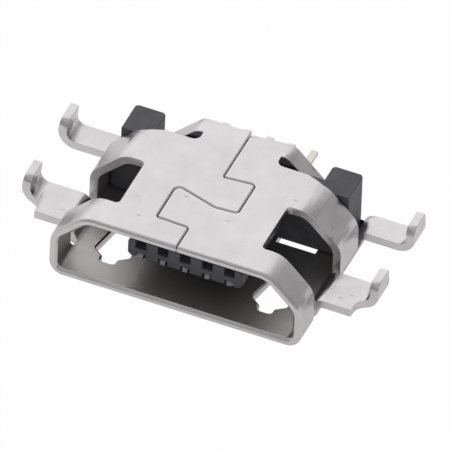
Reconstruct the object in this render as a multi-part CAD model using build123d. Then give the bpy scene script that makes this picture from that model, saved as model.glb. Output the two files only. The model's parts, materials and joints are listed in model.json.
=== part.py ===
from build123d import *
import os
from math import pi, sqrt, tan

# Micro USB socket of the mid-mount kind, lying on its wide panel with the mouth facing -Y.
# Lengths are millimetres. Pieces are drawn with Y = 0 at the mouth's front edge, X = 0 in the
# middle and Z = 0 under the wide panel. They are moved once, when they are written, so that
# the origin lies under the middle of the whole socket.

# Folded sheet shell
SHEET = 0.25
MOUTH_WIDTH = 6.90
MOUTH_HEIGHT = 1.85
MOUTH_SLANT = 0.83
SHELL_LENGTH = 5.10
FLOOR_BEND = 0.18
SLANT_BEND = 0.45
LIP_ROUND = 0.11
LIP_LEAD = 0.08

# Side windows, out of which the front horns are folded, and the open corners behind them
FRONT_BAND = 0.97
WINDOW_LENGTH = 1.82
WINDOW_REACH = 1.35
WINDOW_ROUND = 0.12
RELIEF_WIDTH = 0.31
RELIEF_INSET = 0.09
REAR_CORNER = 1.10

# Rear tab with its two wings, bent down over the housing
SLOT_WIDTH = 0.35
SLOT_ROUND = 0.20
SLOT_RELIEF = 0.04
WING_WIDTH = 0.55
WING_FOLD_SPACING = 2.58
WING_BEND = 0.12
WING_CLEARANCE = 0.33
TAB_FALL_LENGTH = 0.30
TAB_FALL_WIDTH = 1.05
TAB_FALL_DEPTH = 0.10

# Dovetail seam where the two ends of the sheet meet
SEAM_GAP = 0.02
SEAM_ROLL = 0.035
SEAM_SPAN = 0.97
SEAM_FRONT = 0.88
SEAM_WAIST = 2.13
SEAM_REAR = 3.18
SEAM_SLOPE = 0.20
SEAM_RAKE = 0.045
SEAM_LEAD_BEND = 0.07
SEAM_SHOULDER_BEND = 0.08
SEAM_HEAD_BEND = 0.18
SEAM_KNEE_BEND = 0.30
SEAM_NECK_BEND = 0.10
SEAM_HEEL_BEND = 0.12

# Latch holes and retaining slots in the wide panel
HOLE_INSET = 0.64
HOLE_WIDTH = 1.00
HOLE_FRONT = 0.80
HOLE_LENGTH = 1.55
HOLE_SHOULDER = 0.36
HOLE_REAR_WIDTH = 0.60
HOLE_ROUND = 0.10
NOSE_WIDTH = 0.42
COINED_EDGE = 0.05
KEEPER_INSET = 0.79
KEEPER_WIDTH = 1.16
KEEPER_LENGTH = 0.68
KEEPER_LEAD = 0.12
LUG_DEPTH = 0.16
LUG_SETBACK = 0.20

# Four horns: seats that rest on the board and legs that pass through it
LEG_REACH = 1.575
LEG_HEIGHT = 0.64
LEG_STEP = 0.49
HORN_RISE = 0.01
HORN_ROOT_BEND = 0.13
HORN_TIP_BEND = 0.27
HORN_LEAN = 0.06
HORN_TIP_ROUND = 0.27
FRONT_HORN_START = 1.25
FRONT_HORN_WIDTH = 1.26
FRONT_LEG_WIDTH = 0.77
NOTCH_ROUND = 0.30
REAR_HORN_WIDTH = 0.78
REAR_HORN_INSET = 0.09

# Moulded housing
FIT = 0.03
TONGUE_MARGIN = 0.38
TONGUE_THICKNESS = 0.60
TONGUE_CLEARANCE = 0.62
TONGUE_SETBACK = 0.69
TONGUE_BEVEL = 0.10
POCKET_WIDTH = 0.30
POCKET_DEPTH = 0.30
POCKET_RISE = 0.32
NOTCH_WIDTH = 0.27
NOTCH_DEPTH = 0.15
NOTCH_RISE = 0.15
BLOCK_LENGTH = 1.48
EAR_INSET = 0.10
EAR_WIDTH = 0.90
EAR_GAP = 0.06
EAR_ROUND = 0.12

# Contacts
CONTACT_COUNT = 5
CONTACT_PITCH = 0.65
CONTACT_THICKNESS = 0.13
CONTACT_WIDTH = 0.25
CONTACT_RECESS = 0.04
CONTACT_SETBACK = 0.01
CONTACT_NOSE = 0.13
CONTACT_BULGE = 0.10
CONTACT_BEND = 0.25
CONTACT_PLAY = 0.01
CONTACT_TIP_WIDTH = 0.13
CONTACT_TIP_TAPER = 0.15
BARB_INSET = 0.20
BARB_LENGTH = 0.22
BARB_REACH = 0.05
TAIL_WIDTH = 0.20
TAIL_RISE = 0.10
TAIL_REACH = 1.50
JOG_INSET = 0.75
JOG_LENGTH = 0.35

# Worked out from the sizes above
SHELL_WIDTH = MOUTH_WIDTH + 2 * SHEET
SHELL_HEIGHT = MOUTH_HEIGHT + 2 * SHEET
WALL_MIDDLE = (MOUTH_WIDTH + SHEET) / 2
PANEL_MIDDLE = SHELL_HEIGHT - SHEET / 2
WINDOW_INNER = MOUTH_WIDTH / 2 - WINDOW_REACH
WINDOW_REAR = FRONT_BAND + WINDOW_LENGTH
BAND_REAR = SHELL_LENGTH - REAR_CORNER
WING_FRONT = SHELL_LENGTH - WING_WIDTH
SLOT_FRONT = WING_FRONT - SLOT_WIDTH
WING_FOLD_RADIUS = WING_BEND + SHEET / 2
WING_FOLD_START = WING_FOLD_SPACING / 2 - WING_FOLD_RADIUS * tan(pi / 8)
SLOT_INNER = WING_FOLD_START - SLOT_RELIEF
WALL_START = SHEET + FLOOR_BEND
ROOT_HEIGHT = WALL_START + HORN_RISE
SEAT_HEIGHT = ROOT_HEIGHT + HORN_ROOT_BEND + SHEET
SEAT_MIDDLE = SEAT_HEIGHT - SHEET / 2
HORN_TOP = SEAT_HEIGHT + LEG_HEIGHT
LEG_MIDDLE = SHELL_WIDTH / 2 + LEG_REACH - SHEET / 2
SEAT_END = LEG_MIDDLE - LEG_STEP
REAR_HORN_START = SHELL_LENGTH - REAR_HORN_INSET - REAR_HORN_WIDTH
BLOCK_SETBACK = SHELL_LENGTH - BLOCK_LENGTH
KEEPER_FRONT = BLOCK_SETBACK - KEEPER_LEAD
EAR_OUTER = MOUTH_WIDTH / 2 - EAR_INSET
EAR_INNER = EAR_OUTER - EAR_WIDTH
EAR_FRONT = BAND_REAR + EAR_GAP
BLOCK_TOP = SHELL_HEIGHT - SHEET - FIT
WING_REACH = EAR_INNER - WING_CLEARANCE
TONGUE_WIDTH = CONTACT_PITCH * (CONTACT_COUNT - 1) + 2 * TONGUE_MARGIN
TONGUE_UNDERSIDE = SHEET + TONGUE_CLEARANCE
CONTACT_MIDDLE = TONGUE_UNDERSIDE + CONTACT_RECESS + CONTACT_THICKNESS / 2
CONTACT_LOW = CONTACT_MIDDLE - CONTACT_BULGE
TAIL_MIDDLE = SEAT_HEIGHT + TAIL_RISE - CONTACT_THICKNESS / 2
TAIL_END = SHELL_LENGTH + TAIL_REACH
JOG_START = SHELL_LENGTH - JOG_INSET
CONTACT_FRONT = TONGUE_SETBACK + CONTACT_SETBACK
BLADE_END = JOG_START - CONTACT_THICKNESS
CLEAR = SHELL_WIDTH + 2 * LEG_REACH


def along_x(sketch, start, end):
    """Extrudes a sketch of Y and Z from one X to another."""
    return extrude(Plane.YZ.offset(start) * sketch, amount=end - start)


def along_y(sketch, start, end):
    """Extrudes a sketch of X and Z from one distance behind the mouth to another."""
    return extrude(Plane.XZ.offset(-start) * sketch, amount=start - end)


def along_z(sketch, start, end):
    """Extrudes a sketch of X and Y from one height to another."""
    return extrude(Plane.XY.offset(start) * sketch, amount=end - start)


def rectangle(low, high):
    """A rectangle given by its two opposite corners."""
    width = high[0] - low[0]
    height = high[1] - low[1]
    return Pos(low[0] + width / 2, low[1] + height / 2) * Rectangle(width, height)


def both_sides(piece):
    """The piece and its mirror image on the other side of the socket."""
    return piece + mirror(piece, about=Plane.YZ)


def mouth_profile():
    """Inner outline of the tube: wide panel below, slanted corners beside the narrow panel."""
    half = MOUTH_WIDTH / 2
    top = SHEET + MOUTH_HEIGHT
    corners = [
        (half, SHEET),
        (half, top - MOUTH_SLANT),
        (half - MOUTH_SLANT, top),
        (MOUTH_SLANT - half, top),
        (-half, top - MOUTH_SLANT),
        (-half, SHEET),
    ]
    outline = make_face(Polyline(*corners, close=True))
    floor_corners = outline.vertices().group_by(Axis.Y)[0]
    outline = fillet(floor_corners, FLOOR_BEND)
    slant_corners = outline.vertices().group_by(Axis.Y)[2:]
    return fillet([corner for group in slant_corners for corner in group], SLANT_BEND)


def tube():
    """The folded tube before anything is cut, with its lip rounded outside and eased inside."""
    inner = mouth_profile()
    outer = offset(inner, SHEET)
    body = along_y(outer, 0, SHELL_LENGTH) - along_y(inner, 0, SHELL_LENGTH)
    front = body.faces().sort_by(Axis.Y)[0]
    body = fillet(front.outer_wire().edges(), LIP_ROUND)
    front = body.faces().filter_by(Axis.Y).sort_by(Axis.Y)[0]
    return chamfer(front.inner_wires()[0].edges(), LIP_LEAD)


def side_window():
    """Cutter for the opening of one side, down to the horn's root, with the relief before it."""
    plan = rectangle((WINDOW_INNER, FRONT_BAND), (CLEAR, WINDOW_REAR))
    inner_corners = plan.vertices().group_by(Axis.X)[0]
    window = along_z(fillet(inner_corners, WINDOW_ROUND), ROOT_HEIGHT, CLEAR)
    relief = rectangle((MOUTH_WIDTH / 2 - RELIEF_INSET, FRONT_BAND), (CLEAR, FRONT_BAND + RELIEF_WIDTH))
    relief = fillet(relief.vertices().group_by(Axis.X)[0], WINDOW_ROUND)
    return window + along_z(relief, -SHEET, ROOT_HEIGHT)


def rear_opening():
    """Cutter behind one side band: the corner that frees the rear horn, the ear and the wing."""
    slot = rectangle((SLOT_INNER, SLOT_FRONT), (CLEAR, WING_FRONT))
    slot = fillet(slot.vertices().group_by(Axis.X)[0].sort_by(Axis.Y)[0], SLOT_ROUND)
    taper_end = MOUTH_WIDTH / 2 - MOUTH_SLANT
    corner = make_face(
        Polyline(
            (WINDOW_INNER, SLOT_FRONT),
            (taper_end, BAND_REAR),
            (CLEAR, BAND_REAR),
            (CLEAR, SHELL_LENGTH + SHEET),
            (WINDOW_INNER, SHELL_LENGTH + SHEET),
            close=True,
        )
    )
    behind = rectangle((WING_FOLD_START, WING_FRONT), (CLEAR, SHELL_LENGTH + SHEET))
    return along_z(slot + corner + behind, ROOT_HEIGHT, CLEAR)


def seam():
    """Cutter for the thin dovetail line along the narrow panel, with the sheet's rolled edges."""
    line = FilletPolyline(
        (0, -SHEET),
        (0, SEAM_FRONT),
        (-SEAM_SPAN, SEAM_FRONT + SEAM_RAKE),
        (-SEAM_SPAN, SEAM_WAIST + SEAM_SLOPE),
        (SEAM_SPAN / 3, SEAM_WAIST - SEAM_SLOPE),
        (SEAM_SPAN, SEAM_WAIST - SEAM_SLOPE + SEAM_RAKE),
        (SEAM_SPAN, SEAM_REAR + SEAM_RAKE),
        (SEAM_RAKE, SEAM_REAR - SEAM_RAKE),
        (SEAM_RAKE, SHELL_LENGTH + SHEET),
        radius=[
            SEAM_LEAD_BEND,
            SEAM_SHOULDER_BEND,
            SEAM_HEAD_BEND,
            SEAM_KNEE_BEND,
            SEAM_NECK_BEND,
            SEAM_HEEL_BEND,
            SEAM_LEAD_BEND,
        ],
    )
    gap = along_z(trace(line, line_width=SEAM_GAP), SHELL_HEIGHT - 2 * SHEET, CLEAR)
    reach = SEAM_GAP / 2 + SEAM_ROLL
    notch = make_face(Polyline((-reach, 0), (reach, 0), (0, -reach), close=True))
    top_line = Pos(0, 0, SHELL_HEIGHT) * line
    groove = sweep(Plane(top_line @ 0, x_dir=(1, 0, 0), z_dir=(0, -1, 0)) * notch, path=top_line)
    return gap + groove


def tab_fall():
    """Cutter for the slope at the rear of the tab, where its corner beside the seam is pressed down."""
    side = make_face(
        Polyline(
            (SHELL_LENGTH - TAB_FALL_LENGTH, SHELL_HEIGHT),
            (SHELL_LENGTH, SHELL_HEIGHT - TAB_FALL_DEPTH),
            (SHELL_LENGTH, SHELL_HEIGHT),
            close=True,
        )
    )
    far = Vertex(SEAM_RAKE + TAB_FALL_WIDTH, SHELL_LENGTH, SHELL_HEIGHT)
    return loft([Plane.YZ.offset(SEAM_RAKE) * side, far])


def latch_hole():
    """Cutter for one hole that a plug's latch drops into, with its nose and coined edge."""
    half = HOLE_WIDTH / 2
    centre = MOUTH_WIDTH / 2 - HOLE_INSET - half
    nose = NOSE_WIDTH / 2
    rear_half = HOLE_REAR_WIDTH / 2
    shoulder = HOLE_FRONT + HOLE_SHOULDER
    rear = HOLE_FRONT + HOLE_LENGTH
    slope = (half - nose) / 2
    outline = make_face(
        Polyline(
            (centre - nose, HOLE_FRONT),
            (centre + nose, HOLE_FRONT),
            (centre + nose, shoulder - slope),
            (centre + half, shoulder + slope / 2),
            (centre + rear_half, rear),
            (centre - rear_half, rear),
            (centre - half, shoulder + slope / 2),
            (centre - nose, shoulder - slope),
            close=True,
        )
    )
    outline = fillet(outline.vertices(), HOLE_ROUND)
    through = along_z(outline, -SHEET, 2 * SHEET)
    rim = extrude(Plane.XY.offset(SHEET) * offset(outline, COINED_EDGE), amount=-COINED_EDGE, taper=45)
    return through + rim


def keeper_slot(gap):
    """One retaining slot of the wide panel, or the housing's lug in it when the gap is a fit."""
    outer = MOUTH_WIDTH / 2 - KEEPER_INSET
    inner = outer - KEEPER_WIDTH
    rear = KEEPER_FRONT + KEEPER_LENGTH
    return rectangle((inner + gap, KEEPER_FRONT + gap), (outer - gap, rear - gap))


def horn_strip():
    """Section of a horn: up the side wall, out along the seat, up the leg and slightly back in."""
    line = FilletPolyline(
        (WALL_MIDDLE, WALL_START),
        (WALL_MIDDLE, SEAT_MIDDLE),
        (LEG_MIDDLE, SEAT_MIDDLE),
        (LEG_MIDDLE - HORN_LEAN, HORN_TOP),
        radius=[HORN_ROOT_BEND + SHEET / 2, HORN_TIP_BEND + SHEET / 2],
    )
    return trace(line, line_width=SHEET)


def horn(start, width, leg_width):
    """One horn, with its leg flush with the seat's rear edge and cut to its own width."""
    leg_start = start + width - leg_width
    strip = along_y(horn_strip(), start, start + width)
    plan = rectangle((0, start), (SEAT_END, start + width))
    plan = plan + rectangle((SEAT_END - SHEET, leg_start), (CLEAR, leg_start + leg_width))
    if leg_width < width:
        gusset = make_face(
            Polyline(
                (SEAT_END, leg_start - NOTCH_ROUND),
                (SEAT_END + NOTCH_ROUND, leg_start),
                (SEAT_END, leg_start + SHEET),
                close=True,
            )
        )
        relief = Pos(SEAT_END + NOTCH_ROUND, leg_start - NOTCH_ROUND) * Circle(NOTCH_ROUND)
        plan = plan + (gusset - relief)
    side = rectangle((leg_start, 0), (leg_start + leg_width, HORN_TOP))
    side = fillet(side.vertices().group_by(Axis.Y)[-1].sort_by(Axis.X)[0], HORN_TIP_ROUND)
    side = side + rectangle((start, 0), (start + width, SEAT_HEIGHT + HORN_TIP_BEND))
    return strip & along_z(plan, -SHEET, CLEAR) & along_x(side, 0, CLEAR)


def wing_section():
    """Section of a wing: flat at the tab, then down at 45 degrees beside the housing."""
    fold = WING_FOLD_SPACING / 2
    drop = WING_REACH - fold
    line = FilletPolyline(
        (WING_FOLD_START / 2, PANEL_MIDDLE),
        (fold, PANEL_MIDDLE),
        (fold + drop, PANEL_MIDDLE - drop),
        radius=WING_FOLD_RADIUS,
    )
    return trace(line, line_width=SHEET)


def shell():
    """The whole shell, one folded sheet with four horns and two wings."""
    body = tube() - both_sides(side_window()) - both_sides(rear_opening())
    body = body - both_sides(latch_hole())
    body = body - both_sides(along_z(keeper_slot(0), -SHEET, 2 * SHEET))
    front_horn = horn(FRONT_HORN_START, FRONT_HORN_WIDTH, FRONT_LEG_WIDTH)
    rear_horn = horn(REAR_HORN_START, REAR_HORN_WIDTH, REAR_HORN_WIDTH)
    wing = along_y(wing_section(), WING_FRONT, SHELL_LENGTH)
    body = body + both_sides(front_horn) + both_sides(rear_horn) + both_sides(wing)
    return body - seam() - tab_fall()


def contact_line():
    """Middle line of a contact in Y and Z: nose, sloping blade, jog and solder tail."""
    return FilletPolyline(
        (CONTACT_FRONT, CONTACT_LOW + CONTACT_NOSE / 2),
        (CONTACT_FRONT + CONTACT_NOSE, CONTACT_LOW),
        (JOG_START, CONTACT_MIDDLE),
        (JOG_START + JOG_LENGTH, TAIL_MIDDLE),
        (TAIL_END, TAIL_MIDDLE),
        radius=CONTACT_BEND,
    )


def contact_plan(play):
    """Outline of a contact from above: tapered tip, blade, barbs and the narrower tail."""
    blade = CONTACT_WIDTH / 2 + play
    tail = TAIL_WIDTH / 2 + play
    barb_front = BLOCK_SETBACK + BARB_INSET
    barb_rear = barb_front + BARB_LENGTH + play
    tooth = Polyline(
        (0, barb_front),
        (blade, barb_front),
        (blade + BARB_REACH, barb_rear),
        (0, barb_rear),
        close=True,
    )
    tip = CONTACT_TIP_WIDTH / 2 + play
    tapered = Polyline(
        (-tip, 0),
        (tip, 0),
        (tip, CONTACT_FRONT),
        (blade, CONTACT_FRONT + CONTACT_TIP_TAPER),
        (blade, BLADE_END),
        (-blade, BLADE_END),
        (-blade, CONTACT_FRONT + CONTACT_TIP_TAPER),
        (-tip, CONTACT_FRONT),
        close=True,
    )
    plan = make_face(tapered) + rectangle((-tail, BLADE_END - TAIL_WIDTH), (tail, TAIL_END))
    return plan + both_sides(make_face(tooth))


def contact(place, play):
    """One contact at a place along X, or the space it needs when play is added all round."""
    section = trace(contact_line(), line_width=CONTACT_THICKNESS + 2 * play)
    strip = along_x(section, -CONTACT_WIDTH, CONTACT_WIDTH)
    return Pos(place, 0, 0) * (strip & along_z(contact_plan(play), -SHEET, CLEAR))


def contact_places():
    """X of each contact, spread evenly about the middle."""
    first = -CONTACT_PITCH * (CONTACT_COUNT - 1) / 2
    return [first + CONTACT_PITCH * number for number in range(CONTACT_COUNT)]


def tongue():
    """The tongue with bevelled ends, and in its front a pocket and a notch for each contact."""
    half = TONGUE_WIDTH / 2
    top = TONGUE_UNDERSIDE + TONGUE_THICKNESS
    section = rectangle((-half, TONGUE_UNDERSIDE), (half, top))
    section = chamfer(section.vertices(), TONGUE_BEVEL)
    blade = along_y(section, TONGUE_SETBACK, BLOCK_SETBACK + SHEET)
    for place in contact_places():
        side = place + POCKET_WIDTH / 2
        pocket = rectangle((side - POCKET_WIDTH, TONGUE_UNDERSIDE + POCKET_RISE), (side, top + SHEET))
        blade = blade - along_y(pocket, TONGUE_SETBACK - SHEET, TONGUE_SETBACK + POCKET_DEPTH)
        side = place + NOTCH_WIDTH / 2
        notch = rectangle((side - NOTCH_WIDTH, SHEET), (side, TONGUE_UNDERSIDE + NOTCH_RISE))
        blade = blade - along_y(notch, TONGUE_SETBACK - SHEET, TONGUE_SETBACK + NOTCH_DEPTH)
    return blade


def wing_relief():
    """Space above the housing's rear for the tab's wings, between the two ears."""
    half_sheet = SHEET / 2 + FIT
    bend = WING_FOLD_SPACING / 2 + half_sheet - half_sheet * sqrt(2)
    low = BLOCK_TOP - (WING_REACH - bend)
    half = make_face(
        Polyline(
            (0, SHELL_HEIGHT),
            (0, BLOCK_TOP),
            (bend, BLOCK_TOP),
            (WING_REACH, low),
            (EAR_INNER, low),
            (EAR_INNER, SHELL_HEIGHT),
            close=True,
        )
    )
    return both_sides(along_y(half, WING_FRONT - 2 * FIT, SHELL_LENGTH + SHEET))


def block():
    """The block behind the tongue, with an ear in each open corner behind the side bands."""
    core = along_y(offset(mouth_profile(), -FIT), BLOCK_SETBACK, SHELL_LENGTH)
    beside_ear = rectangle((EAR_OUTER, EAR_FRONT), (CLEAR, SHELL_LENGTH + SHEET))
    ear = rectangle((0, EAR_FRONT), (EAR_OUTER, SHELL_LENGTH))
    body = core - both_sides(along_z(beside_ear, 0, CLEAR))
    body = body + both_sides(along_z(ear, WALL_START, BLOCK_TOP)) - wing_relief()
    upright = body.edges().filter_by(Axis.Z).group_by(Axis.Y)[-1]
    return fillet([edge for edge in upright if abs(edge.center().X) > WING_REACH], EAR_ROUND)


def housing():
    """The one moulding that holds the contacts: tongue, block, ears and keeper lugs."""
    body = block() + tongue()
    lug = keeper_slot(FIT) & rectangle((0, BLOCK_SETBACK + LUG_SETBACK), (CLEAR, SHELL_LENGTH))
    body = body + both_sides(along_z(lug, SHEET - LUG_DEPTH, SHEET + 2 * FIT))
    for place in contact_places():
        body = body - contact(place, CONTACT_PLAY)
    return body


def pieces():
    """Every piece by name."""
    named = {"shell": shell(), "housing": housing()}
    for number, place in enumerate(contact_places(), start=1):
        named[f"contact_{number}"] = contact(place, 0)
    return named


def main():
    """Writes each piece to its own file, with the origin under the middle of the socket."""
    os.makedirs("parts", exist_ok=True)
    to_frame = Pos(0, -TAIL_END / 2, 0)
    for name, piece in pieces().items():
        export_step(to_frame * piece, f"parts/{name}.step")


main()
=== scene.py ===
"""Dresses and stages a mid-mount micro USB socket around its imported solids."""

import json
import math

import bpy
from mathutils import Matrix, Vector

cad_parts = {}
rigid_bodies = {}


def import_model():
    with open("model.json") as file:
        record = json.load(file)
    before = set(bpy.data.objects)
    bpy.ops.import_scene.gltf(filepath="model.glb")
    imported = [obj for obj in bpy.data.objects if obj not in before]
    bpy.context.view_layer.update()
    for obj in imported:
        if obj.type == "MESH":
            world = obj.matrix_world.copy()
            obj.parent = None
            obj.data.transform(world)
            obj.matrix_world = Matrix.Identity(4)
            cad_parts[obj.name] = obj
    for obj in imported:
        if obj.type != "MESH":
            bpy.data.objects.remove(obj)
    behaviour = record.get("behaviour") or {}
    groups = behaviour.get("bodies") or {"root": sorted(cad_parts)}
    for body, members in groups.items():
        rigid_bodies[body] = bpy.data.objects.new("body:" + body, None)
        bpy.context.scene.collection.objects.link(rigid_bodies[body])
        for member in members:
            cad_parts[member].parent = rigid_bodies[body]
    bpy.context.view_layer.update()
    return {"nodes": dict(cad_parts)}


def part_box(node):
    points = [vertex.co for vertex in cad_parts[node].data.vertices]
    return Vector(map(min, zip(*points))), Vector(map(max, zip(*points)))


bl_info = {
    "name": "Micro USB socket",
    "version": (1, 0, 0),
    "blender": (4, 5, 0),
    "location": "View3D > Sidebar > Socket",
    "description": "Finishes the shell, housing and contacts of a micro USB socket and stages it",
    "category": "Object",
}

for leftover in list(bpy.data.objects):
    bpy.data.objects.remove(leftover)
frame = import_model()

MM = 0.001
CONTACTS = sorted(name for name in frame["nodes"] if name.startswith("contact_"))

# Sizes of the folded tube of the shell.
SHEET = 0.25 * MM
TUBE_WIDTH = 7.4 * MM
TUBE_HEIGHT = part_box("shell")[1][2]

# How deep in the sheet the tube's inside begins, and how far its faces may lean to the mouth.
INSIDE_DEPTH = 0.95 * SHEET
LEAN_LIMIT = 0.5

# How far back the contacts' tips get their darker colour, painted shade in the mouth.
TIP_BACK = 0

# Material slots of the shell and the contacts, after the first.
INSIDE_SLOT = 1
EDGE_SLOT = 2
TIP_SLOT = 1

# Corners closer than this are joined, faces flatter than this are joined, and edges sharper
# than this are rounded.
CORNER_REACH = 0.0001 * MM
FLAT_ANGLE = math.radians(0.5)
SHARP_ANGLE = math.radians(28)

# How much large faces count in the shading.
LARGE_FACE_WEIGHT = 80

# Patches, grains, waves and marks to the metre.
PLATING_PATCHES = 1500
PLATING_GRAINS = 40000
PLATING_WAVES = 2200
PLATING_MARKS = 1900
MOULDING_PATCHES = 2500
MOULDING_GRAINS = 9000

# How the second colour of the patches comes in with the noise, and how strong it gets.
PATCH_RANGE = (0.35, 0.75)
PATCH_SHARE = 0.8

# The marks' colour and strength, how they fade outwards, and which cells have one.
MARK_COLOUR = (0.2, 0.19, 0.2, 1)
MARK_SHARE = 0.45
MARK_RANGE = (0.04, 0.20)
MARK_TURN = math.radians(35)
MARK_SQUEEZE = (1, 2.2, 1)
MARKED_ABOVE = 0.66

# How far roughness varies with the grain, and how it differs inside and at the edges.
PLATING_SPREAD = 0.03
MOULDING_SPREAD = 0.08
INSIDE_DULLER = 0.19
EDGE_SMOOTHER = 0.04

# Flecks of the moulding and patches of the contacts, as multiples of the main colour.
FLECK_SHADE = 1.7
CONTACT_SHADE = 0.8

# The studio.
WHITE = (1, 1, 1, 1)
CAMERA_DISTANCE_MM = 60
FLOOR_REACH = 400 * MM
LIGHT_FADE = math.radians(60)
ROOM_LIGHT = 0.16
SOFT_LIGHTS = (
    ((0, 0, 1), 0.28),
    ((-0.55, 0.62, 0.56), 0.56),
    ((0, 0.95, 0.30), 0.33),
    ((-0.95, 0.10, 0.30), 0.32),
    ((0.95, 0, 0.30), 0.16),
    ((0, -0.90, 0.43), 0.17),
)


class SocketShellSettings(bpy.types.PropertyGroup):
    """Finish of the folded shell."""

    plating: bpy.props.FloatVectorProperty(
        name="Plating",
        description="Colour of the satin nickel plating",
        subtype="COLOR",
        size=3,
        min=0,
        max=1,
        default=(0.72, 0.70, 0.715),
    )
    tarnish: bpy.props.FloatVectorProperty(
        name="Tarnish",
        description="Colour that the plating drifts towards in patches",
        subtype="COLOR",
        size=3,
        min=0,
        max=1,
        default=(0.63, 0.61, 0.61),
    )
    # Painted shade: the inside of the tube gets a darker, warmer colour than the plating.
    inside: bpy.props.FloatVectorProperty(
        name="Inside",
        # Colour painted inside the tube, darker and warmer than the plating as painted shade
        description="Colour of the duller plating inside the tube",
        subtype="COLOR",
        size=3,
        min=0,
        max=1,
        default=(0.60, 0.585, 0.56),
    )
    # Painted highlight: the rounded edges get a lighter colour than the plating.
    edge_highlight: bpy.props.FloatVectorProperty(
        name="Cut edge",
        # Colour of the rounded edges of the sheet, lighter than the plating as a painted highlight
        description="Colour of the rubbed edges of the sheet",
        subtype="COLOR",
        size=3,
        min=0,
        max=1,
        default=(0.75, 0.735, 0.73),
    )
    roughness: bpy.props.FloatProperty(
        name="Roughness",
        description="How dull the plating is",
        min=0,
        max=1,
        default=0.28,
    )
    edge_break: bpy.props.FloatProperty(
        name="Edge break",
        description="Width of the rounding along the sheet's edges",
        unit="LENGTH",
        precision=6,
        min=0,
        max=0.1 * MM,
        default=0.016 * MM,
    )


class SocketHousingSettings(bpy.types.PropertyGroup):
    """Finish of the moulded housing."""

    moulding: bpy.props.FloatVectorProperty(
        name="Moulding",
        description="Colour of the filled plastic",
        subtype="COLOR",
        size=3,
        min=0,
        max=1,
        default=(0.083, 0.082, 0.094),
    )
    roughness: bpy.props.FloatProperty(
        name="Roughness",
        description="How dull the moulding is",
        min=0,
        max=1,
        default=0.48,
    )
    edge_break: bpy.props.FloatProperty(
        name="Edge break",
        description="Width of the rounding along the moulding's edges",
        unit="LENGTH",
        precision=6,
        min=0,
        max=0.1 * MM,
        default=0.03 * MM,
    )


class SocketContactSettings(bpy.types.PropertyGroup):
    """Finish of the five contacts."""

    plating: bpy.props.FloatVectorProperty(
        name="Plating",
        description="Colour of the pale plating on the contacts",
        subtype="COLOR",
        size=3,
        min=0,
        max=1,
        default=(0.75, 0.73, 0.66),
    )
    # Painted shade: the contacts' tips in the mouth get a darker, bluer colour.
    tip: bpy.props.FloatVectorProperty(
        name="Tip",
        # Colour painted on the contacts' tips in the mouth, darker and bluer as painted shade
        description="Colour of the duller plating in the mouth",
        subtype="COLOR",
        size=3,
        min=0,
        max=1,
        default=(0.32, 0.34, 0.38),
    )
    roughness: bpy.props.FloatProperty(
        name="Roughness",
        description="How dull the plating is",
        min=0,
        max=1,
        default=0.32,
    )
    edge_break: bpy.props.FloatProperty(
        name="Edge break",
        description="Width of the rounding along the contacts' edges",
        unit="LENGTH",
        precision=6,
        min=0,
        max=0.1 * MM,
        default=0.01 * MM,
    )


class SocketStageSettings(bpy.types.PropertyGroup):
    """Camera, light and floor."""

    azimuth: bpy.props.FloatProperty(
        name="Azimuth",
        description="How far the camera stands round to the right of the mouth",
        subtype="ANGLE",
        default=math.radians(21.60),
    )
    elevation: bpy.props.FloatProperty(
        name="Elevation",
        description="How far the camera looks down",
        subtype="ANGLE",
        default=math.radians(42.49),
    )
    roll: bpy.props.FloatProperty(
        name="Roll",
        description="How far the camera leans about its line of sight",
        subtype="ANGLE",
        default=math.radians(2.42),
    )
    view_width: bpy.props.FloatProperty(
        name="View width",
        description="Width that the picture takes in",
        unit="LENGTH",
        precision=6,
        default=12.155 * MM,
    )
    aim_right: bpy.props.FloatProperty(
        name="Aim right",
        description="How far the picture's middle lies to the right of the origin",
        unit="LENGTH",
        precision=6,
        default=0.0945 * MM,
    )
    aim_up: bpy.props.FloatProperty(
        name="Aim up",
        description="How far the picture's middle lies above the origin, in the picture",
        unit="LENGTH",
        precision=6,
        default=0.3136 * MM,
    )
    floor: bpy.props.FloatVectorProperty(
        name="Floor",
        description="Colour of the floor",
        subtype="COLOR",
        size=3,
        min=0,
        max=1,
        default=(0.90, 0.90, 0.90),
    )


def add_node(tree, kind, inputs, **settings):
    """Adds a node and fills its inputs, each with a plain value or another node's output."""
    node = tree.nodes.new(kind)
    for name, value in settings.items():
        setattr(node, name, value)
    for key, value in inputs.items():
        if isinstance(value, bpy.types.NodeSocket):
            tree.links.new(value, node.inputs[key])
        else:
            node.inputs[key].default_value = value
    return node


def calculate(tree, operation, *values):
    """What a math node makes of the values."""
    node = add_node(tree, "ShaderNodeMath", dict(enumerate(values)), operation=operation)
    return node.outputs[0]


def rescale(tree, value, low, high, to_low, to_high, **settings):
    """The value carried over from between low and high to between to_low and to_high."""
    inputs = {"Value": value, "From Min": low, "From Max": high, "To Min": to_low, "To Max": to_high}
    return add_node(tree, "ShaderNodeMapRange", inputs, **settings).outputs["Result"]


def mix_colours(tree, share, first, second):
    """The first colour with the given share of the second."""
    inputs = {"Factor": share, "A": first, "B": second}
    return add_node(tree, "ShaderNodeMix", inputs, data_type="RGBA").outputs["Result"]


def noise(tree, place, scale, detail):
    """Soft noise over the given places."""
    inputs = {"Scale": scale, "Detail": detail, "Vector": place}
    return add_node(tree, "ShaderNodeTexNoise", inputs).outputs["Fac"]


def raised(tree, height, strength, depth, under=None):
    """Relief of the given depth, on top of the relief under it if there is one."""
    inputs = {"Strength": strength, "Distance": depth, "Height": height}
    if under is not None:
        inputs["Normal"] = under
    return add_node(tree, "ShaderNodeBump", inputs).outputs["Normal"]


def colour_variation(tree, place, base, second, scale):
    """A colour that drifts from base towards second in soft patches."""
    patches = noise(tree, place, scale, detail=4)
    share = rescale(tree, patches, *PATCH_RANGE, 0, PATCH_SHARE)
    return mix_colours(tree, share, (*base, 1), (*second, 1))


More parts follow.
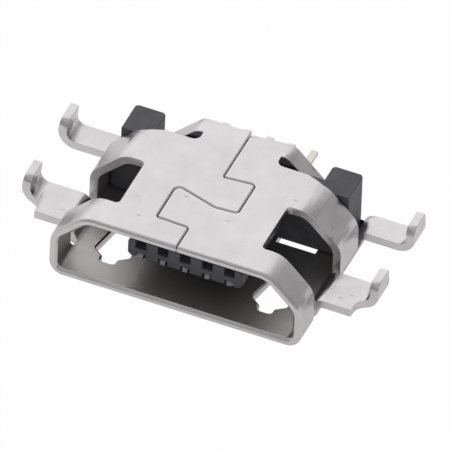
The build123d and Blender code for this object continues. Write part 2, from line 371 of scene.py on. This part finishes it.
def handling_marks(tree, place, colour):
    """The given colour with a few small dull marks, as from handling."""
    turned = add_node(
        tree,
        "ShaderNodeMapping",
        {"Rotation": (0, 0, MARK_TURN), "Scale": MARK_SQUEEZE, "Vector": place},
    )
    cells = add_node(
        tree, "ShaderNodeTexVoronoi", {"Scale": PLATING_MARKS, "Vector": turned.outputs["Vector"]}
    )
    spot = rescale(tree, cells.outputs["Distance"], *MARK_RANGE, MARK_SHARE, 0)
    chosen = calculate(tree, "GREATER_THAN", cells.outputs["Color"], MARKED_ABOVE)
    share = calculate(tree, "MULTIPLY", spot, chosen)
    return mix_colours(tree, share, colour, MARK_COLOUR)


def new_material(name):
    """A new material, its node tree, its shader, and the places on the piece that wears it."""
    material = bpy.data.materials.new(name)
    material.use_nodes = True
    tree = material.node_tree
    place = add_node(tree, "ShaderNodeTexCoord", {}).outputs["Object"]
    return material, tree, tree.nodes["Principled BSDF"], place


def vary_roughness(tree, shader, grain, roughness, spread):
    """Lets the shader's roughness vary with the grain."""
    dull = rescale(tree, grain, 0, 1, roughness - spread, roughness + spread)
    tree.links.new(dull, shader.inputs["Roughness"])


def plating_material(name, base, second, roughness, waves):
    """Satin plating with soft patches, a fine grain and shallow waves of the given depth."""
    material, tree, shader, place = new_material(name)
    shader.inputs["Metallic"].default_value = 1
    patchy = colour_variation(tree, place, base, second, PLATING_PATCHES)
    tree.links.new(handling_marks(tree, place, patchy), shader.inputs["Base Color"])
    grain = noise(tree, place, PLATING_GRAINS, detail=6)
    vary_roughness(tree, shader, grain, roughness, PLATING_SPREAD)
    grained = raised(tree, grain, strength=0.07, depth=0.002 * MM)
    swell = noise(tree, place, PLATING_WAVES, detail=2)
    uneven = raised(tree, swell, strength=1, depth=waves, under=grained)
    tree.links.new(uneven, shader.inputs["Normal"])
    return material


def moulding_material(name, base, roughness):
    """Filled plastic with a fine matt grain and paler flecks."""
    material, tree, shader, place = new_material(name)
    flecks = tuple(min(1, channel * FLECK_SHADE) for channel in base)
    patchy = colour_variation(tree, place, base, flecks, MOULDING_PATCHES)
    tree.links.new(patchy, shader.inputs["Base Color"])
    grain = noise(tree, place, MOULDING_GRAINS, detail=5)
    vary_roughness(tree, shader, grain, roughness, MOULDING_SPREAD)
    grained = raised(tree, grain, strength=0.4, depth=0.01 * MM)
    tree.links.new(grained, shader.inputs["Normal"])
    return material


def dress(name, materials, edge_break, edge_slot=-1):
    """Gives a node its materials and rounds its edges, in the material of edge_slot if there is one."""
    if name not in frame["nodes"]:
        raise RuntimeError(f"the frame holds no node named {name}")
    node = frame["nodes"][name]
    node.data.materials.clear()
    for material in materials:
        node.data.materials.append(material)
    weld = node.modifiers.new("Joined corners", "WELD")
    weld.merge_threshold = CORNER_REACH
    flat = node.modifiers.new("Whole flat faces", "DECIMATE")
    flat.decimate_type = "DISSOLVE"
    flat.angle_limit = FLAT_ANGLE
    bevel = node.modifiers.new("Broken edges", "BEVEL")
    bevel.width = edge_break
    bevel.segments = 2
    bevel.limit_method = "ANGLE"
    bevel.angle_limit = SHARP_ANGLE
    bevel.use_clamp_overlap = False
    bevel.loop_slide = False
    bevel.harden_normals = True
    bevel.material = edge_slot
    normals = node.modifiers.new("Even shading", "WEIGHTED_NORMAL")
    normals.weight = LARGE_FACE_WEIGHT
    return node


def faces_tube_axis(face):
    """Whether a face of the shell lies on the inside of the folded tube and looks inwards."""
    centre = face.center
    inward = Vector((-centre.x, 0, TUBE_HEIGHT / 2 - centre.z))
    within_width = abs(centre.x) < TUBE_WIDTH / 2 - INSIDE_DEPTH
    within_height = abs(centre.z - TUBE_HEIGHT / 2) < TUBE_HEIGHT / 2 - INSIDE_DEPTH
    faces_in = abs(face.normal.y) < LEAN_LIMIT and face.normal.dot(inward) > 0
    return within_width and within_height and faces_in


class SOCKET_OT_finish_shell(bpy.types.Operator):
    """Gives the folded shell its satin plating, with painted shade inside the tube and a painted
    highlight on its rounded edges
    """

    bl_idname = "socket.finish_shell"
    bl_label = "Finish shell"

    def execute(self, context):
        settings = context.scene.socket_shell
        rough = settings.roughness
        coats = [
            plating_material(
                "satin_nickel", settings.plating, settings.tarnish, rough, waves=0.02 * MM
            ),
            # Painted shade: inside the tube the plating is darker and warmer, and it is also rougher.
            plating_material(
                "dull_shaded_inside", settings.inside, settings.tarnish, rough + INSIDE_DULLER, waves=0.01 * MM
            ),
            # Painted highlight: the rounded edges are lighter than the plating, and also smoother.
            plating_material(
                "highlight_edge", settings.edge_highlight, settings.plating, rough - EDGE_SMOOTHER, waves=0.01 * MM
            ),
        ]
        shell = dress("shell", coats, settings.edge_break, EDGE_SLOT)
        # The faces inside the tube get the darker colour as painted shade, and a duller roughness.
        for face in shell.data.polygons:
            if faces_tube_axis(face):
                face.material_index = INSIDE_SLOT
        return {"FINISHED"}


class SOCKET_OT_finish_housing(bpy.types.Operator):
    """Gives the moulded housing its matt black plastic"""

    bl_idname = "socket.finish_housing"
    bl_label = "Finish housing"

    def execute(self, context):
        settings = context.scene.socket_housing
        moulding = moulding_material("black_moulding", settings.moulding, settings.roughness)
        dress("housing", [moulding], settings.edge_break)
        return {"FINISHED"}


class SOCKET_OT_finish_contacts(bpy.types.Operator):
    """Gives the five contacts their pale plating, with painted shade on the tips in the mouth"""

    bl_idname = "socket.finish_contacts"
    bl_label = "Finish contacts"

    def execute(self, context):
        if not CONTACTS:
            raise RuntimeError("the frame holds no contacts")
        settings = context.scene.socket_contacts
        coats = []
        for name, base in (("pale_plating", settings.plating), ("shaded_tip", settings.tip)):
            second = tuple(channel * CONTACT_SHADE for channel in base)
            coat = plating_material(name, base, second, settings.roughness, waves=0.005 * MM)
            coats.append(coat)
        for name in CONTACTS:
            contact = dress(name, coats, settings.edge_break)
            # Painted shade: the front parts of the contacts, in the mouth, get the darker tip colour.
            for face in contact.data.polygons:
                if face.center.y < TIP_BACK:
                    face.material_index = TIP_SLOT
        return {"FINISHED"}


def camera_axes(settings):
    """Right, up and backward directions of the camera."""
    az, el, roll = settings.azimuth, settings.elevation, settings.roll
    back = Vector((math.sin(az) * math.cos(el), -math.cos(az) * math.cos(el), math.sin(el)))
    level = Vector((math.cos(az), math.sin(az), 0))
    upright = back.cross(level)
    right = math.cos(roll) * level + math.sin(roll) * upright
    up = math.cos(roll) * upright - math.sin(roll) * level
    return right, up, back


def add_camera(settings):
    """The camera at the photograph's viewing angle, far off and with no perspective."""
    right, up, back = camera_axes(settings)
    data = bpy.data.cameras.new("view")
    data.type = "ORTHO"
    data.ortho_scale = settings.view_width
    data.clip_start = 1 * MM
    data.clip_end = 1
    camera = bpy.data.objects.new("view", data)
    aim = right * settings.aim_right + up * settings.aim_up
    turn = Matrix((right, up, back)).transposed()
    camera.matrix_world = Matrix.Translation(aim + back * CAMERA_DISTANCE_MM * MM) @ turn.to_4x4()
    bpy.context.scene.collection.objects.link(camera)
    bpy.context.scene.camera = camera


def seen_ray(tree, camera_share, mirror_share):
    """How much of the plain white the ray sees: its share for the eye, or for mirrors and glass."""
    ray = add_node(tree, "ShaderNodeLightPath", {}).outputs
    mirrored = calculate(tree, "MAXIMUM", ray["Is Glossy Ray"], ray["Is Transmission Ray"])
    shared = calculate(tree, "MULTIPLY", mirrored, mirror_share)
    return calculate(tree, "MULTIPLY_ADD", ray["Is Camera Ray"], camera_share, shared)


def soft_light(tree, direction, strength):
    """Light that is strongest from one direction and has faded out at LIGHT_FADE from it."""
    place = add_node(tree, "ShaderNodeTexCoord", {})
    inputs = {0: place.outputs["Generated"], 1: Vector(direction).normalized()}
    toward = add_node(tree, "ShaderNodeVectorMath", inputs, operation="DOT_PRODUCT")
    faded = math.cos(LIGHT_FADE)
    return rescale(
        tree, toward.outputs["Value"], faded, 1, 0, strength, interpolation_type="SMOOTHSTEP"
    )


def add_world():
    """A plain studio with soft lights all round, brightest behind on the left, white to the eye."""
    world = bpy.data.worlds.new("studio")
    bpy.context.scene.world = world
    world.use_nodes = True
    tree = world.node_tree
    total = ROOM_LIGHT
    for direction, strength in SOFT_LIGHTS:
        total = calculate(tree, "ADD", soft_light(tree, direction, strength), total)
    seen = mix_colours(tree, seen_ray(tree, camera_share=1, mirror_share=0.05), total, WHITE)
    tree.links.new(seen, tree.nodes["Background"].inputs["Color"])


def add_floor(settings):
    """A pale floor under the socket, white to the eye apart from a faint shadow."""
    mesh = bpy.data.meshes.new("floor")
    signs = ((-1, -1), (1, -1), (1, 1), (-1, 1))
    mesh.from_pydata([(x * FLOOR_REACH, y * FLOOR_REACH, 0) for x, y in signs], [], [(0, 1, 2, 3)])
    floor = bpy.data.objects.new("floor", mesh)
    bpy.context.scene.collection.objects.link(floor)
    material = bpy.data.materials.new("pale_floor")
    material.use_nodes = True
    tree = material.node_tree
    tree.nodes.remove(tree.nodes["Principled BSDF"])
    lit = add_node(tree, "ShaderNodeBsdfDiffuse", {"Color": (*settings.floor, 1)})
    white = add_node(tree, "ShaderNodeEmission", {})
    seen = seen_ray(tree, camera_share=0.98, mirror_share=0.48)
    inputs = {"Fac": seen, 1: lit.outputs[0], 2: white.outputs[0]}
    mix = add_node(tree, "ShaderNodeMixShader", inputs)
    tree.links.new(mix.outputs[0], tree.nodes["Material Output"].inputs["Surface"])
    mesh.materials.append(material)


class SOCKET_OT_build_stage(bpy.types.Operator):
    """Adds the floor, the studio light and the camera"""

    bl_idname = "socket.build_stage"
    bl_label = "Build stage"

    def execute(self, context):
        settings = context.scene.socket_stage
        context.scene.view_settings.view_transform = "Standard"
        add_world()
        add_floor(settings)
        add_camera(settings)
        return {"FINISHED"}


class SOCKET_PT_panel(bpy.types.Panel):
    """The socket's pieces and their finishes"""

    bl_label = "Micro USB socket"
    bl_idname = "SOCKET_PT_panel"
    bl_space_type = "VIEW_3D"
    bl_region_type = "UI"
    bl_category = "Socket"

    def draw(self, context):
        groups = [
            (context.scene.socket_shell, SOCKET_OT_finish_shell),
            (context.scene.socket_housing, SOCKET_OT_finish_housing),
            (context.scene.socket_contacts, SOCKET_OT_finish_contacts),
            (context.scene.socket_stage, SOCKET_OT_build_stage),
        ]
        for settings, operator in groups:
            box = self.layout.box()
            for name in settings.__annotations__:
                box.prop(settings, name)
            box.operator(operator.bl_idname)


SETTINGS = {
    "socket_shell": SocketShellSettings,
    "socket_housing": SocketHousingSettings,
    "socket_contacts": SocketContactSettings,
    "socket_stage": SocketStageSettings,
}
CLASSES = (
    *SETTINGS.values(),
    SOCKET_OT_finish_shell,
    SOCKET_OT_finish_housing,
    SOCKET_OT_finish_contacts,
    SOCKET_OT_build_stage,
    SOCKET_PT_panel,
)


def register():
    """Registers the classes and hangs the settings on the scene."""
    for cls in CLASSES:
        bpy.utils.register_class(cls)
    for name, group in SETTINGS.items():
        setattr(bpy.types.Scene, name, bpy.props.PointerProperty(type=group))


def unregister():
    """Takes the settings off the scene and unregisters the classes."""
    for name in SETTINGS:
        delattr(bpy.types.Scene, name)
    for cls in reversed(CLASSES):
        bpy.utils.unregister_class(cls)


def main():
    """Finishes and stages the socket."""
    register()
    bpy.ops.socket.finish_shell()
    bpy.ops.socket.finish_housing()
    bpy.ops.socket.finish_contacts()
    bpy.ops.socket.build_stage()


if __name__ == "__main__":
    main()
